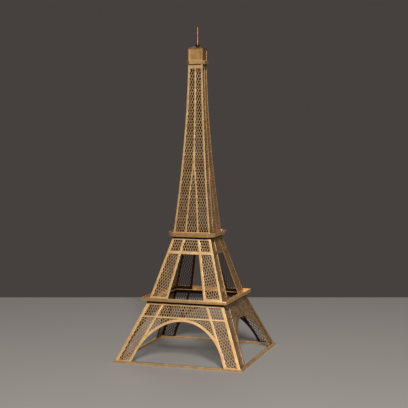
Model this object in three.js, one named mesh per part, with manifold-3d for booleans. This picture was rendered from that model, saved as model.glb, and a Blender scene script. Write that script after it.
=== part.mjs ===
// Miniature lattice tower: a display model welded from flat bar and expanded-metal mesh.
// Units are millimetres, +Z is up, the floor is z = 0 and the tower's axis is the Z axis.
// Each stage has four equal faces. A face is a cut frame of flat bar with mesh panels
// seated behind it. Everything for one face is drawn for the front (-Y) and turned.

import * as THREE from "three";
import { ConvexGeometry } from "three/addons/geometries/ConvexGeometry.js";
import { mergeVertices } from "three/addons/utils/BufferGeometryUtils.js";
import Module from "manifold-3d";

// ---- shared sizes -------------------------------------------------------------------

const seam = 0.3;             // gap between two pieces that meet
const plate = 5;              // thickness of the flat bar in every frame
const meshSheet = 1.5;        // thickness of the mesh panels
const meshLap = 4;            // how far a mesh panel reaches behind the bars round it
const narrowLap = 3;          // the same behind the bar that two panels share
const farOut = 600;           // beyond any face, for cutting solids
const overrun = 5;            // how far a cutter, or a bar to be trimmed, runs past the work
const sameSpot = 1e-4;        // corners closer than this are one corner
const roundSides = 24;        // flats round the collar and the mast
const domeSteps = 4;          // steps from the side of the mast's tip to its top
const chamferLoss = 2 - Math.SQRT2;   // a wall set in by 1 shortens its corner cuts by this

// ---- base ring ----------------------------------------------------------------------

const baseHeight = 12;
const baseBarWidth = 20;
const baseOverhang = 10;      // the ring stands this far outside the legs

// ---- lower stage, with the arch -----------------------------------------------------

const footHalf = 385;         // half the width over the legs, at the ring
const lowerHeight = 326.4;
const lowerTopHalf = 239.6;
const lowerStile = 17.5;
const lowerTopBar = 9;
const lowerFriezeHeight = 68.6;
const lowerFriezeBar = 9;
const lowerLegBar = 13;       // inner bar of each leg, from the foot to the top bar
const lowerLegAtTop = 136;    // centre line of that bar, from the face's middle
const footBar = 5;
const archBand = 16;
const archFootHalf = 284.8;   // half the arch's clear width at the ring
const crownRadius = 233;      // inside edge of the arch, middle part
const crownHalfAngle = THREE.MathUtils.degToRad(29.4);
const crownSteps = 8;         // straight steps in each half of the crown, and in each haunch
const haunchSteps = 10;
const spandrelTip = 39;       // the spandrel mesh stops here, where the arch meets the bar

// ---- first platform, four mitred rails ----------------------------------------------

const sheet = 3;              // folded sheet of the platforms
const deckStep = 9.3;         // the stage above stands this far inside the one below
const neckOneHeight = 15;
const parapetOneHeight = 20.5;
const parapetOneFoot = 25.2;  // parapet's lower edge, outside the stage below
const parapetOneFlare = 1.5;
const deckOneLedge = 14;      // deck showing inside the feet of the stage above

// ---- middle stage, with the window --------------------------------------------------

const midHeight = 361.2;
const midTopHalf = 120.5;
const midStile = 13.5;
const midTopBar = 8;
const midFriezeHeight = 69;
const midFriezeBar = 17;
const midLegBar = 14;
const midLegAtFoot = 121.5;   // centre line of the leg's inner bar
const midLegAtTop = 45.5;
const midFootBar = 22;

// ---- second platform, one chamfered tray ---------------------------------------------

const deckTwoStep = 3.2;
const neckTwoHeight = 12;
const parapetTwoHeight = 26;
const parapetTwoFoot = 20.5;
const parapetTwoFlare = 9;
const trayTwoChamfer = 38;
const deckTwoLedge = 14;

// ---- spire ---------------------------------------------------------------------------

const spireHeight = 1029.9;
const spireTopHalf = 45.3;
const spireCurve = 1.6;       // 1 is straight-sided; more draws the middle in
const spireSteps = 16;
const spireStile = 10.5;
const spireFootBar = 25;
const spireTopBar = 26;
const spireInnerBar = 8.5;
const innerBarAtFoot = 40.2;  // the two inner bars lean together and join as one
const innerBarJoin = 0.4;     // shares of the spire's height: where they touch,
const innerBarEnd = 0.52;     // where they have become one bar,
const innerBarKnee = 0.262;   // and where they start to lean more
const innerBarAtKnee = 20.6;

// ---- third platform, cabin, roof and mast --------------------------------------------

const capHeight = 21;         // the third platform is a cap on a square neck, its deck on top
const capFoot = 11.2;         // the cap wall's lower edge, outside the spire
const capFlare = 3;
const capChamfer = 23;
const cabinHeight = 70.8;
const cabinWall = 3;
const cabinStile = 11;        // raised border beside each side's panel,
const cabinRail = 5;          // and above and below it
const cabinRecess = 1;
const roofEave = 0.7;         // the roof stands this far outside the cabin
const roofHeight = 17.5;
const roofFlat = 14;          // half-width of the roof's flat top
const collarRadius = 14;
const collarHeight = 10;
const mastHeight = 103.6;
const mastFootRadius = 6.5;
const mastTipRadius = 4.5;

// ---- heights that follow --------------------------------------------------------------

const lowerFoot = baseHeight + seam;
const lowerTop = lowerFoot + lowerHeight;
const lowerLegAtFoot = archFootHalf + archBand / 2;
const deckOneUnder = lowerTop + neckOneHeight;
const midFoot = deckOneUnder + sheet + seam;
const midTop = midFoot + midHeight;
const midFootHalf = lowerTopHalf - deckStep;
const deckTwoUnder = midTop + neckTwoHeight;
const spireFoot = deckTwoUnder + sheet + seam;
const spireTop = spireFoot + spireHeight;
const spireFootHalf = midTopHalf - deckTwoStep;
const capUnder = spireTop + seam;
const cabinFoot = capUnder + capHeight + seam;
const cabinTop = cabinFoot + cabinHeight;
const roofFoot = cabinTop + seam;
const collarFoot = roofFoot + roofHeight;
const mastFoot = collarFoot + collarHeight + seam;

// ---- finishes --------------------------------------------------------------------------

const finish = (color, roughness) => new THREE.MeshStandardMaterial({ color, roughness, metalness: 0.8 });
const goldBar = finish("#c8a469", 0.45);
const goldMesh = finish("#bb9d6c", 0.5);
const goldSheet = finish("#c19a5e", 0.42);

// ---- joining and cutting ---------------------------------------------------------------

const wasm = await Module();
wasm.setup();

function toSolid(geometry) {
  const bare = geometry.clone();
  bare.deleteAttribute("normal");
  bare.deleteAttribute("uv");
  const merged = mergeVertices(bare, sameSpot);
  const vertProperties = new Float32Array(merged.attributes.position.array);
  const triVerts = new Uint32Array(merged.index.array);
  return new wasm.Manifold(new wasm.Mesh({ numProp: 3, vertProperties, triVerts }));
}

function toGeometry(solid) {
  const { vertProperties, triVerts } = solid.getMesh();
  const geometry = new THREE.BufferGeometry();
  geometry.setAttribute("position", new THREE.BufferAttribute(vertProperties, 3));
  geometry.setIndex(new THREE.BufferAttribute(triVerts, 1));
  geometry.computeVertexNormals();
  return geometry;
}

const join = (solids) => solids.reduce((all, next) => all.add(next));

// A square block on the tower's axis, between two levels.
function block(half, foot, top) {
  const geometry = new THREE.BoxGeometry(2 * half, 2 * half, top - foot);
  return toSolid(geometry.translate(0, 0, (foot + top) / 2));
}

// ---- outlines ----------------------------------------------------------------------------

const outline = (points) => new THREE.Shape(points.map(([x, y]) => new THREE.Vector2(x, y)));

// A flat outline with its outside face at 0 and its thickness below.
function flatPlate(shape, thickness = plate, depth = 0) {
  const geometry = new THREE.ExtrudeGeometry(shape, { depth: thickness, bevelEnabled: false });
  return geometry.translate(0, 0, -thickness - depth);
}

// A straight bar between two points of a face, run past its ends for trimming.
function bar([x1, y1], [x2, y2], width) {
  const along = new THREE.Vector2(x2 - x1, y2 - y1).normalize();
  const [dx, dy] = [along.x * width, along.y * width];
  const [nx, ny] = [-along.y * width / 2, along.x * width / 2];
  const [ax, ay, bx, by] = [x1 - dx, y1 - dy, x2 + dx, y2 + dy];
  return outline([[ax + nx, ay + ny], [ax - nx, ay - ny], [bx - nx, by - ny], [bx + nx, by + ny]]);
}

// A solid whose outline lies in the plane of X and Z, run from the front back to the axis.
function elevation(shape) {
  const geometry = new THREE.ExtrudeGeometry(shape, { depth: farOut, bevelEnabled: false });
  return toSolid(geometry.rotateX(Math.PI / 2));
}

// A prism whose outline lies in the plane of Y and Z, run from side to side.
function sideProfilePrism(points) {
  const shape = outline(points);
  const geometry = new THREE.ExtrudeGeometry(shape, { depth: 2 * farOut, bevelEnabled: false });
  geometry.translate(0, 0, -farOut);
  return geometry.applyMatrix4(new THREE.Matrix4().makeBasis(
    new THREE.Vector3(0, 1, 0), new THREE.Vector3(0, 0, 1), new THREE.Vector3(1, 0, 0)));
}

// The quarter of space that belongs to the front face, kept half a seam inside its mitres.
function frontQuarter(height) {
  const back = seam / 2 * Math.SQRT2;
  const shape = outline([[0, -back], [-farOut, -farOut - back], [farOut, -farOut - back]]);
  return toSolid(new THREE.ExtrudeGeometry(shape, { depth: height, bevelEnabled: false }));
}
const quarter = frontQuarter(mastFoot);

// ---- a straight stage's face ---------------------------------------------------------------

// The face leans in from footHalfWidth to topHalfWidth. Its own x runs across it and its
// own y runs up its slope from the foot, and place is the matrix from there into the tower.
function leaningFace(foot, height, footHalfWidth, topHalfWidth) {
  const leanIn = footHalfWidth - topHalfWidth;
  const slope = Math.hypot(height, leanIn);
  const inward = leanIn / slope;
  const place = new THREE.Matrix4().makeBasis(
    new THREE.Vector3(1, 0, 0),
    new THREE.Vector3(0, inward, height / slope),
    new THREE.Vector3(0, -height / slope, inward)).setPosition(0, -footHalfWidth, foot);
  const room = block(farOut, foot, foot + height).intersect(quarter);
  return { place, slope, room, footHalfWidth, topHalfWidth };
}

// Half-width of a face at a height up its slope.
const edgeAt = (face, y) => face.footHalfWidth - (face.footHalfWidth - face.topHalfWidth) * y / face.slope;

// Keeps flat work inside the face's outline, level at both ends and mitred at its corners.
function trimToFace(face, solids) {
  const { slope, place, room } = face;
  const [foot, top] = [-overrun, slope + overrun];
  const whole = outline([[-edgeAt(face, foot), foot], [edgeAt(face, foot), foot],
    [edgeAt(face, top), top], [-edgeAt(face, top), top]]);
  const trimmed = join(solids).intersect(toSolid(flatPlate(whole)));
  return toGeometry(toSolid(toGeometry(trimmed).applyMatrix4(place)).intersect(room));
}

// A mesh panel seated behind the frame.
function meshPanel(face, points) {
  const flat = flatPlate(outline(points), meshSheet, plate + seam).applyMatrix4(face.place);
  return toGeometry(toSolid(flat).intersect(face.room));
}

const mirrored = (points) => points.map(([x, y]) => [-x, y]).reverse();

// ---- lower stage ---------------------------------------------------------------------------

const lowerFace = leaningFace(lowerFoot, lowerHeight, footHalf, lowerTopHalf);
const lowerFriezeTop = lowerFace.slope - lowerTopBar;
const lowerFriezeFoot = lowerFriezeTop - lowerFriezeHeight;
const lowerPanelTop = lowerFriezeFoot - lowerFriezeBar;
const archCrown = lowerPanelTop - archBand;

// Right half of the arch from the crown down to the foot, offset outwards by an amount:
// a crown arc, a flatter haunch arc, and a straight flank in line with the leg's outside.
// Angles are measured from upright. The haunch's radius is the one that meets the flank.
function archHalf(offset) {
  const flankAngle = Math.PI / 2 - Math.atan((footHalf - lowerTopHalf) / lowerFace.slope);
  const crownCentre = new THREE.Vector2(0, archCrown - crownRadius);
  const turn = Math.cos(flankAngle - crownHalfAngle);
  const flankReach = archFootHalf * Math.sin(flankAngle) - crownCentre.y * Math.cos(flankAngle);
  const haunchRadius = (flankReach - crownRadius * turn) / (1 - turn);
  const haunchCentre = new THREE.Vector2(Math.sin(crownHalfAngle), Math.cos(crownHalfAngle))
    .multiplyScalar(crownRadius - haunchRadius).add(crownCentre);
  const arc = (centre, radius, from, to, steps) => Array.from({ length: steps + 1 }, (_, i) => {
    const angle = from + (to - from) * i / steps;
    return [centre.x + radius * Math.sin(angle), centre.y + radius * Math.cos(angle)];
  });
  const crown = arc(crownCentre, crownRadius + offset, 0, crownHalfAngle, crownSteps);
  const haunch = arc(haunchCentre, haunchRadius + offset, crownHalfAngle, flankAngle, haunchSteps);
  const [endX, endY] = haunch.at(-1);
  const drop = Math.max(endY, 0) + overrun;
  const flank = [endX + drop / Math.tan(flankAngle), endY - drop];
  return [...crown, ...haunch.slice(1), flank];
}

function archShape() {
  const inside = archHalf(0);
  const outside = archHalf(archBand);
  return outline([...mirrored(inside), ...inside.slice(1), ...outside.toReversed(),
    ...mirrored(outside).toReversed().slice(1)]);
}

const lowerLegLine = (y) => lowerLegAtFoot + (lowerLegAtTop - lowerLegAtFoot) * y / lowerFace.slope;

function lowerFrame() {
  const { slope } = lowerFace;
  const side = (sign) => [
    bar([sign * footHalf, 0], [sign * lowerTopHalf, slope], 2 * lowerStile),
    bar([sign * lowerLegAtFoot, 0], [sign * lowerLegAtTop, slope], lowerLegBar),
    bar([sign * lowerLegAtFoot, footBar / 2], [sign * footHalf, footBar / 2], footBar),
  ];
  const across = [
    bar([-footHalf, slope - lowerTopBar / 2], [footHalf, slope - lowerTopBar / 2], lowerTopBar),
    bar([-footHalf, lowerFriezeFoot - lowerFriezeBar / 2], [footHalf, lowerFriezeFoot - lowerFriezeBar / 2],
      lowerFriezeBar),
  ];
  const shapes = [archShape(), ...side(1), ...side(-1), ...across];
  const opening = toSolid(flatPlate(archOpening(), plate + 2 * overrun, -overrun));
  return trimToFace(lowerFace, [join(shapes.map((shape) => toSolid(flatPlate(shape)))).subtract(opening)]);
}

function archOpening() {
  const inside = archHalf(0);
  return outline([...mirrored(inside), ...inside.slice(1)].toReversed());
}

// Across a leg, from behind its stile to behind its inner bar.
function lowerLegPanel() {
  const reach = lowerStile - meshLap;
  const innerEdge = lowerLegBar / 2 - meshLap;
  const [bottom, top] = [footBar - meshLap, lowerPanelTop + narrowLap];
  return [[lowerLegLine(bottom) + innerEdge, bottom], [edgeAt(lowerFace, bottom) - reach, bottom],
    [edgeAt(lowerFace, top) - reach, top], [lowerLegLine(top) + innerEdge, top]];
}

// Between the arch, the leg's inner bar and the bar under the frieze.
function lowerSpandrelPanel() {
  const innerEdge = lowerLegBar / 2 - meshLap;
  const top = lowerPanelTop + narrowLap;
  const line = (x, y) => x < lowerLegLine(y) - innerEdge;
  const curve = archHalf(archBand - meshLap).filter(([x, y]) => x > spandrelTip && line(x, y));
  const [endX, endY] = curve.at(-1);
  return [...curve, [Math.min(endX + meshLap, lowerLegLine(endY) - innerEdge), endY],
    [lowerLegLine(top) - innerEdge, top], [curve[0][0], top]];
}

function lowerFriezePanel() {
  const reach = lowerStile - meshLap;
  const [bottom, top] = [lowerFriezeFoot - narrowLap, lowerFriezeTop + meshLap];
  const half = (y) => edgeAt(lowerFace, y) - reach;
  return [[-half(bottom), bottom], [half(bottom), bottom], [half(top), top], [-half(top), top]];
}

// ---- first platform ---------------------------------------------------------------------------

// One rail: a neck standing on the stage below, a deck, and a flared parapet.
function platformRail() {
  const neck = lowerTopHalf - seam;
  const inner = midFootHalf - plate - deckOneLedge;
  const parapetFoot = lowerTopHalf + parapetOneFoot;
  const rim = parapetFoot + parapetOneFlare;
  const [under, top] = [deckOneUnder, deckOneUnder + parapetOneHeight];
  const lean = sheet * parapetOneFlare / parapetOneHeight;
  const profile = [
    [-neck, lowerTop + seam], [-neck, under], [-parapetFoot, under], [-rim, top], [-rim + sheet, top],
    [-parapetFoot + sheet - lean, under + sheet], [-inner, under + sheet], [-inner, under],
    [-neck + sheet, under], [-neck + sheet, lowerTop + seam],
  ];
  return toGeometry(toSolid(sideProfilePrism(profile)).intersect(quarter));
}

// ---- middle stage -------------------------------------------------------------------------------

const midFace = leaningFace(midFoot, midHeight, midFootHalf, midTopHalf);
const midFriezeTop = midFace.slope - midTopBar;
const midFriezeFoot = midFriezeTop - midFriezeHeight;
const midPanelTop = midFriezeFoot - midFriezeBar;
const midLegLine = (y) => midLegAtFoot + (midLegAtTop - midLegAtFoot) * y / midFace.slope;

function midFrame() {
  const { slope } = midFace;
  const side = (sign) => [
    bar([sign * midFootHalf, 0], [sign * midTopHalf, slope], 2 * midStile),
    bar([sign * midLegAtFoot, 0], [sign * midLegAtTop, slope], midLegBar),
    bar([sign * (midLegAtFoot + midLegBar), midFootBar / 2], [sign * midFootHalf, midFootBar / 2],
      midFootBar),
  ];
  const across = [
    bar([-midFootHalf, slope - midTopBar / 2], [midFootHalf, slope - midTopBar / 2], midTopBar),
    bar([-midFootHalf, midFriezeFoot - midFriezeBar / 2], [midFootHalf, midFriezeFoot - midFriezeBar / 2],
      midFriezeBar),
  ];
  return trimToFace(midFace, [...side(1), ...side(-1), ...across].map((shape) => toSolid(flatPlate(shape))));
}

function midLegPanel() {
  const reach = midStile - meshLap;
  const innerEdge = midLegBar / 2 - meshLap;
  const [bottom, top] = [midFootBar - meshLap, midPanelTop + meshLap];
  return [[midLegLine(bottom) + innerEdge, bottom], [edgeAt(midFace, bottom) - reach, bottom],
    [edgeAt(midFace, top) - reach, top], [midLegLine(top) + innerEdge, top]];
}

function midFriezePanel() {
  const reach = midStile - meshLap;
  const [bottom, top] = [midFriezeFoot - meshLap, midFriezeTop + meshLap];
  const half = (y) => edgeAt(midFace, y) - reach;
  return [[-half(bottom), bottom], [half(bottom), bottom], [half(top), top], [-half(top), top]];
}

// ---- second and third platforms ------------------------------------------------------------

// Corners of a square with its corners cut off, at one height.
function chamferedSquare(half, chamfer, z) {
  const flat = half - chamfer;
  const corner = (x, y) => new THREE.Vector3(x, y, z);
  return [[half, flat], [flat, half], [-flat, half], [-half, flat],
    [-half, -flat], [-flat, -half], [flat, -half], [half, -flat]].map(([x, y]) => corner(x, y));
}

// The solid between two chamfered squares whose walls all flare by the same amount.
function flaredBlock(footHalfWidth, rimHalfWidth, rimChamfer, foot, rim) {
  const grow = rimHalfWidth - footHalfWidth;
  const footChamfer = rimChamfer - grow * chamferLoss;
  return toSolid(new ConvexGeometry([...chamferedSquare(footHalfWidth, footChamfer, foot),
    ...chamferedSquare(rimHalfWidth, rimChamfer, rim)]));
}

// The second platform: a tray of folded sheet on a square neck, open in the middle.
function trayTwo() {
  const foot = midTopHalf + parapetTwoFoot;
  const top = deckTwoUnder + parapetTwoHeight;
  const wall = sheet - parapetTwoFlare * sheet / parapetTwoHeight;
  const outside = flaredBlock(foot, foot + parapetTwoFlare, trayTwoChamfer, deckTwoUnder, top);
  const inside = flaredBlock(foot - wall, foot + parapetTwoFlare - wall,
    trayTwoChamfer - sheet * chamferLoss, deckTwoUnder + sheet, top + sheet);
  const neckHalf = midTopHalf - seam;
  const neckFoot = midTop + seam;
  const neck = block(neckHalf, neckFoot, deckTwoUnder + sheet).subtract(
    block(neckHalf - sheet, neckFoot - overrun, deckTwoUnder + sheet + overrun));
  const opening = block(spireFootHalf - plate - deckTwoLedge, neckFoot, deckTwoUnder + sheet + overrun);
  return toGeometry(outside.subtract(inside).add(neck).subtract(opening));
}

// The third platform: the same walls with the deck across their top, open below, on a
// square neck that stands on the spire.
function deckedCap() {
  const foot = spireTopHalf + capFoot;
  const wall = sheet + capFlare * sheet / capHeight;
  const outside = flaredBlock(foot, foot + capFlare, capChamfer, capUnder, capUnder + capHeight);
  const inside = flaredBlock(foot - wall, foot + capFlare - wall, capChamfer - sheet * chamferLoss,
    capUnder - sheet, capUnder + capHeight - sheet);
  const neck = block(spireTopHalf, capUnder, capUnder + capHeight - sheet / 2).subtract(
    block(spireTopHalf - plate, capUnder - overrun, capUnder + capHeight - sheet));
  return toGeometry(outside.subtract(inside).add(neck));
}

// ---- spire ------------------------------------------------------------------------------------------

// Half-width at a share of the spire's height.
function spireHalf(share) {
  return spireTopHalf + (spireFootHalf - spireTopHalf) * Math.pow(1 - share, spireCurve);
}

const spireShares = Array.from({ length: spireSteps + 1 }, (_, i) => i / spireSteps);
const spireLevel = (share) => spireFoot + share * spireHeight;

// The bent plate that one face's flat work is cut from, between two depths.
function bentSheet(outside, thickness) {
  const wall = (depth) => spireShares.map((share) => [-spireHalf(share) + depth, spireLevel(share)]);
  return toSolid(sideProfilePrism([...wall(outside), ...wall(outside + thickness).toReversed()]));
}

// The front outline of the spire, drawn in from its edges by a margin.
function spireOutline(margin) {
  const right = spireShares.map((share) => [spireHalf(share) - margin, spireLevel(share)]);
  return outline([...mirrored(right), ...right]);
}

// A nearly upright bar of even width along a line of points.
function upright(points, width) {
  const side = (sign) => points.map(([x, z]) => [x + sign * width / 2, z]);
  return outline([...side(-1).toReversed(), ...side(1)]);
}

function innerBars() {
  const knee = [innerBarAtKnee, spireLevel(innerBarKnee)];
  const touch = [spireInnerBar / 2, spireLevel(innerBarJoin)];
  const oneBar = [0, spireLevel(innerBarEnd)];
  const lean = [[innerBarAtFoot, spireFoot], knee, touch, oneBar];
  const centre = [[0, spireLevel(innerBarJoin)], [0, spireTop]];
  return [upright(lean, spireInnerBar), upright(lean.map(([x, z]) => [-x, z]), spireInnerBar),
    upright(centre, spireInnerBar)].map(elevation);
}

function spireFrame() {
  const stiles = elevation(spireOutline(0)).subtract(elevation(spireOutline(spireStile)));
  const footBand = block(farOut, spireFoot - overrun, spireFoot + spireFootBar);
  const topBand = block(farOut, spireTop - spireTopBar, spireTop + overrun);
  const work = join([stiles, ...innerBars(), footBand, topBand]);
  const face = bentSheet(0, plate).intersect(elevation(spireOutline(0)));
  return toGeometry(face.intersect(work).intersect(quarter));
}

function spireMesh() {
  const behind = bentSheet(plate + seam, meshSheet);
  const ends = block(farOut, spireFoot + spireFootBar - meshLap, spireTop - spireTopBar + meshLap);
  const front = elevation(spireOutline(spireStile - meshLap));
  return toGeometry(behind.intersect(front).intersect(ends).intersect(quarter));
}

// ---- cabin, roof and mast ------------------------------------------------------------------------------

function cabin() {
  const half = spireTopHalf;
  const tube = block(half, cabinFoot, cabinTop).subtract(
    block(half - cabinWall, cabinFoot - overrun, cabinTop + overrun));
  const panelWidth = 2 * (half - cabinStile);
  const panelHeight = cabinHeight - 2 * cabinRail;
  const middle = cabinFoot + cabinHeight / 2;
  const panels = [new THREE.BoxGeometry(panelWidth, farOut, panelHeight),
    new THREE.BoxGeometry(farOut, panelWidth, panelHeight)];
  const cutters = join(panels.map((geometry) => toSolid(geometry.translate(0, 0, middle))));
  const core = block(half - cabinRecess, cabinFoot - overrun, cabinTop + overrun);
  return toGeometry(tube.subtract(cutters.subtract(core)));
}

function roof() {
  const eave = spireTopHalf + roofEave;
  const square = (half, z) => [[1, 1], [-1, 1], [-1, -1], [1, -1]].map(([x, y]) =>
    new THREE.Vector3(x * half, y * half, z));
  const lipTop = roofFoot + sheet;
  const lip = block(eave, roofFoot, lipTop);
  const hip = toSolid(new ConvexGeometry([...square(eave, lipTop), ...square(roofFlat, collarFoot)]));
  const collar = new THREE.CylinderGeometry(collarRadius, collarRadius, collarHeight + sheet, roundSides);
  collar.rotateX(Math.PI / 2).translate(0, 0, collarFoot + (collarHeight - sheet) / 2);
  return toGeometry(join([lip, hip, toSolid(collar)]));
}

function mast() {
  const tip = mastFoot + mastHeight;
  const dome = Array.from({ length: domeSteps + 1 }, (_, i) => {
    const angle = i / domeSteps * Math.PI / 2;
    return [mastTipRadius * Math.cos(angle), tip - mastTipRadius + mastTipRadius * Math.sin(angle)];
  });
  const profile = [[0, mastFoot], [mastFootRadius, mastFoot], ...dome.slice(0, -1), [0, tip]];
  const geometry = new THREE.LatheGeometry(profile.map(([x, y]) => new THREE.Vector2(x, y)), roundSides);
  return toGeometry(toSolid(geometry.rotateX(Math.PI / 2)));
}

// ---- the welded base ring -------------------------------------------------------------------

function baseRing() {
  const half = footHalf + baseOverhang;
  const middle = block(half - baseBarWidth, -overrun, baseHeight + overrun);
  return toGeometry(block(half, 0, baseHeight).subtract(middle));
}

// ---- assembly --------------------------------------------------------------------------------

function named(name, geometry, material) {
  const mesh = new THREE.Mesh(geometry, material);
  mesh.name = name;
  return mesh;
}

const faceWork = {
  lower_frame: [lowerFrame(), goldBar],
  lower_frieze_mesh: [meshPanel(lowerFace, lowerFriezePanel()), goldMesh],
  lower_leg_mesh_a: [meshPanel(lowerFace, lowerLegPanel()), goldMesh],
  lower_leg_mesh_b: [meshPanel(lowerFace, mirrored(lowerLegPanel())), goldMesh],
  spandrel_mesh_a: [meshPanel(lowerFace, lowerSpandrelPanel()), goldMesh],
  spandrel_mesh_b: [meshPanel(lowerFace, mirrored(lowerSpandrelPanel())), goldMesh],
  platform_rail: [platformRail(), goldSheet],
  mid_frame: [midFrame(), goldBar],
  mid_frieze_mesh: [meshPanel(midFace, midFriezePanel()), goldMesh],
  mid_leg_mesh_a: [meshPanel(midFace, midLegPanel()), goldMesh],
  mid_leg_mesh_b: [meshPanel(midFace, mirrored(midLegPanel())), goldMesh],
  spire_frame: [spireFrame(), goldBar],
  spire_mesh: [spireMesh(), goldMesh],
};

const tower = new THREE.Group();
["front", "right", "back", "left"].forEach((side, turn) => {
  const face = new THREE.Group();
  face.rotation.z = turn * Math.PI / 2;
  for (const [piece, [geometry, material]] of Object.entries(faceWork)) {
    face.add(named(`${side}_${piece}`, geometry, material));
  }
  tower.add(face);
});
tower.add(named("base_ring", baseRing(), goldBar));
tower.add(named("second_platform_tray", trayTwo(), goldSheet));
tower.add(named("third_platform_cap", deckedCap(), goldSheet));
tower.add(named("cabin", cabin(), goldSheet));
tower.add(named("cabin_roof", roof(), goldSheet));
tower.add(named("mast", mast(), goldBar));

export default tower;
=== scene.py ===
# Looks for the welded lattice tower: bar frames, expanded-metal mesh, folded platforms,
# cabin, roof and mast, all in an old-gold lacquer. Metres, +Z up, floor at z = 0.

import math

import bmesh
import bpy
from mathutils import Matrix, Vector


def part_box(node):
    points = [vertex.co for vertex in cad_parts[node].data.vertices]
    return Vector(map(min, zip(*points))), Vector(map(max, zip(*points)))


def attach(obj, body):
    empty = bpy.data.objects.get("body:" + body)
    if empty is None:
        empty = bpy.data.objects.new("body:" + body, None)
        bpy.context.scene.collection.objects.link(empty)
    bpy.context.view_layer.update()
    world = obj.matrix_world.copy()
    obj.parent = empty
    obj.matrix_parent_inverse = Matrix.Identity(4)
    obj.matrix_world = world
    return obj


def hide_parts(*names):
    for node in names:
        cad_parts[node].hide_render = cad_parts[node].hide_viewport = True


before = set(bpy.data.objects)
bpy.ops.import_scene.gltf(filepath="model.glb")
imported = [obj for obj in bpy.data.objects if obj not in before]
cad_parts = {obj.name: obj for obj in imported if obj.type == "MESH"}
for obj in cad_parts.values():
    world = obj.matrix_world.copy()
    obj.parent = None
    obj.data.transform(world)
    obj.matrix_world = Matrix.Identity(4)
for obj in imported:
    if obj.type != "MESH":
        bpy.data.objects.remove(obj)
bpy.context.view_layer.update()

MM = 0.001
SIDES = ("front", "right", "back", "left")    # each is a quarter turn on from the last
scene = bpy.context.scene

# ---- camera ---------------------------------------------------------------------------

LENS_TILT = 3.74         # degrees below level
LENS_TURN = 18.23        # degrees to the left of straight ahead

camera_data = bpy.data.cameras.new("studio_camera")
camera_data.sensor_width = 36
camera_data.lens = 83.74
camera = bpy.data.objects.new("studio_camera", camera_data)
camera.location = (1.844, -5.475, 1.298)
camera.rotation_euler = (math.radians(90 - LENS_TILT), 0, math.radians(LENS_TURN))
scene.collection.objects.link(camera)
scene.camera = camera


# ---- material helpers -----------------------------------------------------------------

def colour(hex_code):
    """An sRGB hex colour as linear red, green and blue, with an alpha of 1."""
    parts = [int(hex_code[i:i + 2], 16) / 255 for i in (1, 3, 5)]
    return [p / 12.92 if p <= 0.04045 else ((p + 0.055) / 1.055) ** 2.4 for p in parts] + [1.0]


def node(tree, kind, settings=None, **inputs):
    """Adds a node. An input that is a socket is linked, and any other is a value. An input
    is named with _ for a space, or is i and its number."""
    made = tree.nodes.new("ShaderNode" + kind)
    for name, value in (settings or {}).items():
        setattr(made, name, value)
    for name, value in inputs.items():
        key = int(name[1:]) if name[0] == "i" and name[1:].isdigit() else name.replace("_", " ")
        if isinstance(value, bpy.types.NodeSocket):
            tree.links.new(value, made.inputs[key])
        else:
            made.inputs[key].default_value = value
    return made


def mix_colours(tree, share, first, second):
    """The first colour, with a share of the second mixed in."""
    made = node(tree, "Mix", {"data_type": "RGBA"}, i0=share, i6=first, i7=second)
    return made.outputs[2]


def spread(tree, value, low, high, to_low=0.0, to_high=1.0):
    """A value stretched from the range low to high to another range, and held inside it."""
    made = node(tree, "MapRange", None, Value=value, From_Min=low, From_Max=high,
                To_Min=to_low, To_Max=to_high)
    return made.outputs["Result"]


def new_material(name):
    """An empty material and its node tree."""
    material = bpy.data.materials.new(name)
    material.use_nodes = True
    material.node_tree.nodes.clear()
    return material, material.node_tree


# ---- the lacquer ----------------------------------------------------------------------

GRIT = 1.2 * MM          # orange peel of a sprayed lacquer, drawn as coarse as it shows
PEEL_DEPTH = 0.2 * MM
PEEL_STRENGTH = 0.18     # how much of that depth the gloss shows
PATCH = 45 * MM          # tone drifts where the lacquer is rubbed thin or lies thick
FLECK = 6 * MM           # darker flecks where the umber glaze has settled
STREAK = 2.5 * MM        # between the marks of a wiping cloth
STREAK_DRAW = 0.04       # a streak's width as a share of its length, which runs up
DULLER, GLOSSIER = 0.1, 0.06    # how far the roughness strays either way, fleck by fleck
SETTLED_GLAZE = "#4a3318"       # umber glaze, thin in the flecks
PAINTED_SHADE_BROWN = "#453120"       # painted shade: an umber brown for insides, sideways faces and the undersides of rims


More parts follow.
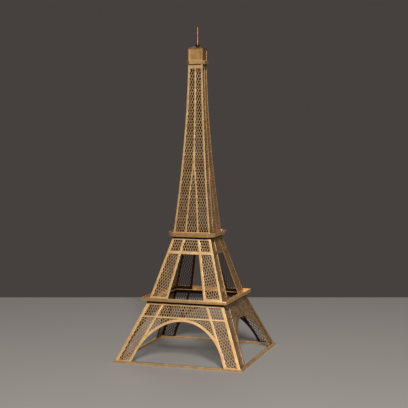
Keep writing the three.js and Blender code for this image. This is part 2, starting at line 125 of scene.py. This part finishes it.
def old_gold(name, base, dark, bright, roughness, brushed=0.0, grime=0.35):
    """Bronze-powder lacquer under a thin umber glaze on steel: a warm metallic gold, satin,
    cloudy from hand spraying, with bright edges, rubbed and with a painted highlight, and a
    painted shade in umber brown on the faces that a piece marks for it. The tone drifts from
    base to dark, and brushed and grime are the strengths of streaks and flecks."""
    material, tree = new_material(name)
    place = node(tree, "TexCoord").outputs["Object"]
    clouds = node(tree, "TexNoise", None, Vector=place, Scale=1 / PATCH, Detail=3,
                  Roughness=0.55)
    flecks = node(tree, "TexNoise", None, Vector=place, Scale=1 / FLECK, Detail=4,
                  Roughness=0.65)
    peel = node(tree, "TexNoise", None, Vector=place, Scale=1 / GRIT, Detail=1)
    worn_and_highlit = node(tree, "Attribute", {"attribute_name": "rubbed_and_highlit_edge"}).outputs["Fac"]
    # where the pieces mark painted shade
    painted_shade = node(tree, "Attribute", {"attribute_name": "painted_shade"}).outputs["Fac"]

    drift = spread(tree, clouds.outputs["Fac"], low=0.35, high=0.65)
    tone = mix_colours(tree, drift, colour(dark), colour(base))
    settled = spread(tree, flecks.outputs["Fac"], low=0.56, high=0.72, to_high=grime)
    tone = mix_colours(tree, settled, tone, colour(SETTLED_GLAZE))
    # the rounded edges lighter: rubbed wear, and a painted highlight
    tone = mix_colours(tree, worn_and_highlit, tone, colour(bright))
    rough = spread(tree, flecks.outputs["Fac"], low=0.3, high=0.7,
                   to_low=roughness - GLOSSIER, to_high=roughness + DULLER)
    height = peel.outputs["Fac"]
    if brushed:
        grain = node(tree, "Mapping", None, Vector=place, Scale=(1, 1, STREAK_DRAW))
        streaks = node(tree, "TexNoise", None, Vector=grain.outputs["Vector"],
                       Scale=1 / STREAK, Detail=3)
        streak = spread(tree, streaks.outputs["Fac"], low=0.35, high=0.7, to_high=brushed)
        tone = mix_colours(tree, streak, tone, colour(dark))
        height = mix_colours(tree, 0.5, height, streaks.outputs["Fac"])
    bump = node(tree, "Bump", None, Strength=PEEL_STRENGTH, Distance=PEEL_DEPTH, Height=height)
    # painted shade: the umber brown laid over the tone on the marked faces
    tone = mix_colours(tree, painted_shade, tone, colour(PAINTED_SHADE_BROWN))
    shader = node(tree, "BsdfPrincipled", None, Base_Color=tone, Metallic=1.0, Roughness=rough,
                  Normal=bump.outputs["Normal"])
    node(tree, "OutputMaterial", None, Surface=shader.outputs["BSDF"])
    return material


# Flat bar, sprayed and wiped with a cloth: a pale satin gold with bright corners, rubbed and
# with a painted highlight.
lacquered_bar = old_gold(
    "bronze_powder_lacquer_on_bar", "#f2ca93", "#dbae76", "#ffe2b2", 0.5, grime=0.25)
# Expanded mesh, whose strands the cloth can't rub as smooth, so a little duller.
lacquered_mesh = old_gold(
    "bronze_powder_lacquer_on_mesh", "#f2ca93", "#d8aa72", "#ffe0b0", 0.52, grime=0.25)
# Folded sheet, wiped up and down while wet, which leaves faint upright streaks.
lacquered_sheet = old_gold(
    "bronze_powder_lacquer_on_sheet", "#fcd397", "#e6b77d", "#ffe6b8", 0.5,
    brushed=0.3, grime=0.2)
# Cabin: the same wiped sheet under one more thin coat of glaze, so a tone deeper.
lacquered_cabin = old_gold(
    "bronze_powder_lacquer_on_cabin", "#d9ab70", "#b88c56", "#f2cc94", 0.5, brushed=0.6)
# Roof and collar, where the umber glaze was left on: nearly brown.
glazed_roof = old_gold(
    "umber_glaze_over_gold_on_roof", "#6b4a28", "#4a3019", "#a87f48", 0.5, brushed=0.3)
# Mast: drawn rod, which starts smoother, under a thicker coat of the glaze.
lacquered_rod = old_gold(
    "bronze_powder_lacquer_on_rod", "#b58f5e", "#946f44", "#d8b47c", 0.45)


# ---- shared by the pieces ---------------------------------------------------------------

OUTSIDE = 0.4            # cosine from outwards below which a face counts as an edge
SIDEWAYS_SHADE = 0.45        # share of the painted shade on a face that turns sideways
RIM_FLARE = 12 * MM      # more than any platform's rim stands out past its foot
LEVEL_SLACK = 0.2 * MM   # so that a face just at the rim's foot counts as below it
SAME_POINT = 0.01 * MM
FLAT = math.radians(0.5)       # faces that turn less than this are one flat face
SHARP = math.radians(30)       # edges that turn more than this are rounded
BAR_ROUND = 0.7 * MM           # how far a rubbed edge is rounded off
SPIRE_ROUND = 0.6 * MM
RAIL_ROUND = 0.8 * MM


def quarter_turns(count, size):
    """A turn about the tower's upright axis."""
    return Matrix.Rotation(count * math.pi / 2, size, "Z")


def mark_faces(bm, attribute, share_of):
    """Writes a share from 0 to 1 on every face, for the material to read."""
    layer = bm.loops.layers.float_color.new(attribute)
    for face in bm.faces:
        share = share_of(face)
        for loop in face.loops:
            loop[layer] = (share, share, share, 1)


def paint_shade_inside_and_sides(bm, turn=0):
    """Marks painted shade in the brown: part of it on the faces of one side's work that turn
    sideways, and all of it on the faces that turn inwards."""
    outward = quarter_turns(turn, 3) @ Vector((0, -1, 0))
    bm.normal_update()

    def share(face):
        facing = face.normal.dot(outward)
        return 0.0 if facing > OUTSIDE else SIDEWAYS_SHADE if facing > -OUTSIDE else 1.0
    mark_faces(bm, "painted_shade", share)


def paint_shade_below_rim(bm):
    """Marks painted shade on a folded platform's underside and its neck, below the rim."""
    reach = {v: max(abs(v.co.x), abs(v.co.y)) for v in bm.verts}
    widest = max(reach.values())
    rim_foot = min(v.co.z for v in bm.verts if reach[v] > widest - RIM_FLARE)
    level = rim_foot + LEVEL_SLACK
    mark_faces(bm, "painted_shade", lambda face: float(face.calc_center_median().z < level))


def finish_piece(name, bm, material, replaced, turn=0):
    """Makes a shown piece of a bmesh, a number of quarter turns round, riding on the tower
    in place of the CAD nodes it replaces. The bmesh is used up."""
    bmesh.ops.rotate(bm, verts=bm.verts, cent=(0, 0, 0), matrix=quarter_turns(turn, 3))
    mesh = bpy.data.meshes.new(name)
    bm.to_mesh(mesh)
    bm.free()
    mesh.materials.append(material)
    piece = bpy.data.objects.new(name, mesh)
    scene.collection.objects.link(piece)
    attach(piece, "root")
    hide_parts(*replaced)


def merged_copy(cad_node):
    """A CAD node's shape as a bmesh of whole flat faces."""
    bm = bmesh.new()
    bm.from_mesh(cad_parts[cad_node].data)
    bmesh.ops.remove_doubles(bm, verts=bm.verts, dist=SAME_POINT)
    bmesh.ops.dissolve_limit(bm, angle_limit=FLAT, verts=bm.verts, edges=bm.edges)
    return bm


def break_edges(bm, offset):
    """Rounds every sharp edge a little, and marks the rounds, where the lacquer is rubbed and a
    highlight is painted on.
    """
    sharp = [e for e in bm.edges if len(e.link_faces) == 2 and e.calc_face_angle(0) > SHARP]
    made = bmesh.ops.bevel(bm, geom=sharp, offset=offset, offset_type="OFFSET", affect="EDGES",
                           segments=2, profile=0.5, material=-1, clamp_overlap=True)
    rounds = set(made["faces"])
    mark_faces(bm, "rubbed_and_highlit_edge", lambda face: float(face in rounds))


# ---- expanded metal -------------------------------------------------------------------

ACROSS = 15.38 * MM      # hole to hole, the short way
ALONG = 34.4 * MM        # hole to hole, the long way, which runs up a panel
STRAND = 2.0 * MM        # width of one strand
BOND = 6 * MM            # length of the joint where two strands meet side by side
GAUGE = 1.5 * MM         # thickness of the steel
TWIST = 0.3 * MM         # how far a strand's edges stand off the sheet's middle
BEHIND = 1.7 * MM        # from the outside of the plain CAD sheet back to the strands' middle
STRAND_JOINT = 0.05 * MM       # strand ends this near are joined
CUT_SLACK = 0.001 * MM         # points this near a cut lie on it
SHORTEST_RIM = 0.5 * MM        # anything shorter on a sheet's rim isn't a line of its outline


def mesh_cell(bm):
    """One hole at the origin with half of each strand round it. A strand's left edge stands
    back and its right edge stands out, because stretching the slit sheet turns the strands."""
    corners = bmesh.ops.create_circle(bm, cap_ends=True, segments=6, radius=1)["verts"]
    tips = [v for v in corners if abs(v.co.x) < 0.1]
    sides = [v for v in corners if abs(v.co.x) > 0.1]
    half_across = ACROSS / 2 / math.cos(math.radians(30))
    bmesh.ops.scale(bm, verts=tips, vec=(1, (ALONG - BOND) / 2, 1))
    bmesh.ops.scale(bm, verts=sides, vec=(half_across, BOND, 1))
    hole = bm.faces[:]
    bmesh.ops.inset_individual(bm, faces=hole, thickness=STRAND / 2, use_even_offset=True)
    for vert in hole[0].verts:
        if abs(vert.co.x) > STRAND / 2:
            vert.co.x -= math.copysign(STRAND / 2, vert.co.x)
            vert.co.z = -math.copysign(TWIST, vert.co.x)
    bmesh.ops.delete(bm, geom=hole, context="FACES_ONLY")


def copy_along(bm, step, count):
    """Repeats what is in the bmesh in a row."""
    first = bm.verts[:] + bm.edges[:] + bm.faces[:]
    for i in range(1, count):
        made = bmesh.ops.duplicate(bm, geom=first)
        moved = [g for g in made["geom"] if isinstance(g, bmesh.types.BMVert)]
        bmesh.ops.translate(bm, verts=moved, vec=step * i)


def mesh_field(low, high, lean, hole):
    """Flat expanded metal over the rectangle from low to high. Its long way leans to +x by
    lean degrees, and one hole is centred on the point hole."""
    bm = bmesh.new()
    turn = Matrix.Rotation(math.radians(lean), 3, "Z")
    hole = turn @ Vector((*hole, 0))
    corners = [turn @ Vector((x, y, 0)) for x in (low[0], high[0]) for y in (low[1], high[1])]
    left, right = min(c.x for c in corners), max(c.x for c in corners)
    foot, top = min(c.y for c in corners), max(c.y for c in corners)
    mesh_cell(bm)
    start_x = hole.x + ACROSS * math.floor((left - hole.x) / ACROSS - 0.5)
    start_y = hole.y + ALONG * math.floor((foot - hole.y) / ALONG - 0.5)
    copy_along(bm, Vector((ACROSS, 0, 0)), math.ceil((right - left) / ACROSS) + 2)
    row = bm.verts[:] + bm.edges[:] + bm.faces[:]
    made = bmesh.ops.duplicate(bm, geom=row)
    staggered = [g for g in made["geom"] if isinstance(g, bmesh.types.BMVert)]
    bmesh.ops.translate(bm, verts=staggered, vec=(ACROSS / 2, ALONG / 2, 0))
    copy_along(bm, Vector((0, ALONG, 0)), math.ceil((top - foot) / ALONG) + 2)
    bmesh.ops.translate(bm, verts=bm.verts, vec=(start_x, start_y, 0))
    bmesh.ops.remove_doubles(bm, verts=bm.verts, dist=STRAND_JOINT)
    bmesh.ops.rotate(bm, verts=bm.verts, cent=(0, 0, 0), matrix=turn.inverted())
    return bm


def cut_along(bm, start, end, reach):
    """Cuts flat mesh along the line from start to end, and only near it."""
    along = end - start
    length = along.length
    along = along / length
    across = Vector((-along.y, along.x, 0))
    near = []
    for face in bm.faces:
        offset = face.calc_center_median() - start
        if -reach < offset.dot(along) < length + reach and abs(offset.dot(across)) < reach:
            near.append(face)
    edges = {e for f in near for e in f.edges}
    verts = {v for f in near for v in f.verts}
    bmesh.ops.bisect_plane(bm, geom=near + list(edges) + list(verts), dist=CUT_SLACK,
                           plane_co=start, plane_no=across)


def rim_lines(sheet_bm, to_local):
    """The outline of a flat CAD sheet as lines in its own plane, from its narrow rim faces."""
    lines = []
    for face in sheet_bm.faces:
        normal = (to_local.to_3x3() @ face.normal).normalized()
        if abs(normal.z) > 0.5:
            continue
        points = [to_local @ v.co for v in face.verts]
        across = Vector((-normal.y, normal.x, 0)).normalized()
        flat = [Vector((p.x, p.y, 0)) for p in points]
        flat.sort(key=lambda p: p.dot(across))
        if (flat[-1] - flat[0]).length > SHORTEST_RIM:
            lines.append((flat[0], flat[-1]))
    return lines


def inside(point, lines):
    """Whether a point lies inside closed outlines: an odd number of lines on either hand."""
    to_left = to_right = 0
    for start, end in lines:
        if (start.y > point.y) != (end.y > point.y):
            share = (point.y - start.y) / (end.y - start.y)
            if point.x < start.x + share * (end.x - start.x):
                to_right += 1
            else:
                to_left += 1
    return to_left % 2 == 1 and to_right % 2 == 1


def face_axes(sheet_bm, foot):
    """Where a leaning face lies: x across, y up the slope from the level of foot, z outwards."""
    outside = max(sheet_bm.faces, key=lambda f: f.calc_area() * (f.normal.y < -0.5))
    out = outside.normal.normalized()
    across = Vector((0, 0, 1)).cross(out).normalized()
    up = out.cross(across)
    point = outside.verts[0].co
    origin = point - across * point.dot(across) - up * ((point.z - foot) / up.z)
    return Matrix((
        (across.x, up.x, out.x, origin.x),
        (across.y, up.y, out.y, origin.y),
        (across.z, up.z, out.z, origin.z),
        (0, 0, 0, 1)))


def outline_box(lines):
    """The lowest and the highest corner of the rectangle round an outline."""
    points = [p for line in lines for p in line]
    return ((min(p.x for p in points), min(p.y for p in points)),
            (max(p.x for p in points), max(p.y for p in points)))


def trimmed_field(lines, lean, hole):
    """Expanded metal cut to an outline."""
    low, high = outline_box(lines)
    bm = mesh_field(low, high, lean, hole)
    for start, end in lines:
        cut_along(bm, start, end, ALONG)
    waste = [f for f in bm.faces if not inside(f.calc_center_median(), lines)]
    bmesh.ops.delete(bm, geom=waste, context="FACES")
    return bm


def thicken(bm):
    """Gives flat strands the steel's thickness, downwards from where they lie."""
    bmesh.ops.recalc_face_normals(bm, faces=bm.faces)
    if sum(f.normal.z * f.calc_area() for f in bm.faces) < 0:
        bmesh.ops.reverse_faces(bm, faces=bm.faces)
    bmesh.ops.solidify(bm, geom=bm.faces[:], thickness=GAUGE)


def fix_on_sides(name, bm, cad_name):
    """Puts the front's finished strands on all four sides, and uses up their bmesh."""
    # painted shade on the strands' sideways and inward faces
    paint_shade_inside_and_sides(bm)
    for turn, side in enumerate(SIDES):
        finish_piece(f"{side}_{name}", bm.copy(), lacquered_mesh,
                     [f"{side}_{cad_name}"], turn)
    bm.free()


def flat_panels(name, cad_name, foot, lean, hole):
    """The expanded metal of one flat panel."""
    sheet_bm = merged_copy(f"front_{cad_name}")
    axes = face_axes(sheet_bm, foot)
    bm = trimmed_field(rim_lines(sheet_bm, axes.inverted()), lean, hole)
    sheet_bm.free()
    thicken(bm)
    bmesh.ops.translate(bm, verts=bm.verts, vec=(0, 0, GAUGE / 2 - BEHIND))
    bmesh.ops.transform(bm, matrix=axes, verts=bm.verts)
    fix_on_sides(name, bm, cad_name)


def curve_at(curve, z):
    """The sheet's y at a height, between the levels at which it bends."""
    for (z0, y0), (z1, y1) in zip(curve, curve[1:]):
        if z <= z1:
            return y0 + (y1 - y0) * (z - z0) / (z1 - z0)
    return curve[-1][1]


def curved_panels(name, cad_name, foot, lean, hole):
    """The spire's expanded metal: cut flat, then bent to the sheet's curve."""
    sheet_bm = merged_copy(f"front_{cad_name}")
    upright = Matrix(((1, 0, 0, 0), (0, 0, -1, 0), (0, 1, 0, foot), (0, 0, 0, 1)))
    bm = trimmed_field(rim_lines(sheet_bm, upright.inverted()), lean, hole)
    thicken(bm)
    outer = {}
    for vert in sheet_bm.verts:
        level = round(vert.co.z, 4)
        outer[level] = min(outer.get(level, 0), vert.co.y)
    sheet_bm.free()
    curve = sorted(outer.items())
    for vert in bm.verts:
        vert.co.z -= curve_at(curve, vert.co.y + foot) + BEHIND - GAUGE / 2
    bmesh.ops.transform(bm, matrix=upright, verts=bm.verts)
    fix_on_sides(name, bm, cad_name)


lower_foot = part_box("front_lower_frame")[0].z
mid_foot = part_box("front_mid_frame")[0].z
spire_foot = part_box("front_spire_frame")[0].z

# Each panel's lean in degrees and the place of one hole, across and up the face from the
# middle of the stage's foot.
LOWER = {
    "lower_frieze_mesh": (0, (0.2 * MM, 305.5 * MM)),
    "lower_leg_mesh_a": (-22.6, (280.0 * MM, 134.2 * MM)),
    "lower_leg_mesh_b": (22.6, (-275.1 * MM, 130.6 * MM)),
    "spandrel_mesh_a": (33, (129.3 * MM, 233.9 * MM)),
    "spandrel_mesh_b": (-31, (-131.7 * MM, 236.9 * MM)),
}
MID = {
    "mid_frieze_mesh": (0, (-1.5 * MM, 328.6 * MM)),
    "mid_leg_mesh_a": (-16.7, (130.2 * MM, 142.6 * MM)),
    "mid_leg_mesh_b": (16.2, (-140.2 * MM, 145.2 * MM)),
}
SPIRE = {"spire_mesh": (0, (5.6 * MM, 98.8 * MM))}

for stage_panels, foot, make_panels in (
        (LOWER, lower_foot, flat_panels),
        (MID, mid_foot, flat_panels),
        (SPIRE, spire_foot, curved_panels)):
    for panel, (lean, hole) in stage_panels.items():
        make_panels(panel.replace("_mesh", "_strands"), panel, foot, lean, hole)

# ---- frames, platforms and cabin -------------------------------------------------------

for turn, side in enumerate(SIDES):
    for stage, offset in (("lower", BAR_ROUND), ("mid", BAR_ROUND), ("spire", SPIRE_ROUND)):
        bars = merged_copy(f"{side}_{stage}_frame")
        break_edges(bars, offset)
        # painted shade on the bars' sideways and inward faces
        paint_shade_inside_and_sides(bars, turn)
        finish_piece(f"{side}_{stage}_bars", bars, lacquered_bar,
                     [f"{side}_{stage}_frame"])
    rail = merged_copy(f"{side}_platform_rail")
    break_edges(rail, RAIL_ROUND)
    # painted shade under the rail's rim
    paint_shade_below_rim(rail)
    finish_piece(f"{side}_folded_rail", rail, lacquered_sheet,
                 [f"{side}_platform_rail"])

for cad_name, name, material, slot in (
        ("base_ring", "welded_base_ring", lacquered_bar, "gold_bar"),
        ("second_platform_tray", "folded_tray", lacquered_sheet, "gold_sheet"),
        ("third_platform_cap", "folded_cap", lacquered_sheet, "gold_sheet"),
        ("cabin", "cabin_box", lacquered_cabin, "gold_sheet"),
        ("cabin_roof", "hip_roof", glazed_roof, "gold_sheet"),
        ("mast", "mast_rod", lacquered_rod, "gold_bar")):
    shape = merged_copy(cad_name)
    break_edges(shape, BAR_ROUND)
    # painted shade under the rims of the tray and the cap
    if name in ("folded_tray", "folded_cap"):
        paint_shade_below_rim(shape)
    finish_piece(name, shape, material, [cad_name])

# ---- floor and light --------------------------------------------------------------------

FLOOR_HALF = 2.1         # half the floor's side
LIGHTS_AIM = 0.9         # the height that the lights face


def stage_floor():
    """A plain pale matt floor, square to the camera."""
    bm = bmesh.new()
    bmesh.ops.create_grid(bm, x_segments=1, y_segments=1, size=FLOOR_HALF,
                          matrix=Matrix.Rotation(camera.rotation_euler.z, 4, "Z"))
    mesh = bpy.data.meshes.new("studio_floor")
    bm.to_mesh(mesh)
    bm.free()
    floor = bpy.data.objects.new("studio_floor", mesh)
    scene.collection.objects.link(floor)
    material, tree = new_material("pale_matt_floor")
    shader = node(tree, "BsdfPrincipled", None, Base_Color=colour("#9a958f"), Roughness=0.8)
    node(tree, "OutputMaterial", None, Surface=shader.outputs["BSDF"])
    mesh.materials.append(material)


def soft_box(name, power, size, azimuth, elevation, distance):
    """A soft square light that faces the tower's middle. Its azimuth is 0 in front of the
    tower and grows to the right, in degrees."""
    light = bpy.data.lights.new(name, "AREA")
    light.energy = power
    light.size = size
    lamp = bpy.data.objects.new(name, light)
    turned, raised = math.radians(azimuth), math.radians(elevation)
    back = Vector((math.sin(turned) * math.cos(raised), -math.cos(turned) * math.cos(raised),
                   math.sin(raised)))
    lamp.location = Vector((0, 0, LIGHTS_AIM)) + back * distance
    lamp.rotation_euler = back.to_track_quat("Z", "Y").to_euler()
    scene.collection.objects.link(lamp)


stage_floor()
# The key light, in front and to the right, and a weak one behind, so that the back can be seen.
soft_box("key_soft_box", power=1200, size=2.8, azimuth=23, elevation=33, distance=10)
soft_box("fill_behind", power=90, size=3, azimuth=200, elevation=45, distance=10)
world = bpy.data.worlds.new("studio")
world.use_nodes = True
world.node_tree.nodes["Background"].inputs["Color"].default_value = colour("#46413e")
scene.world = world
scene.view_settings.view_transform = "Standard"
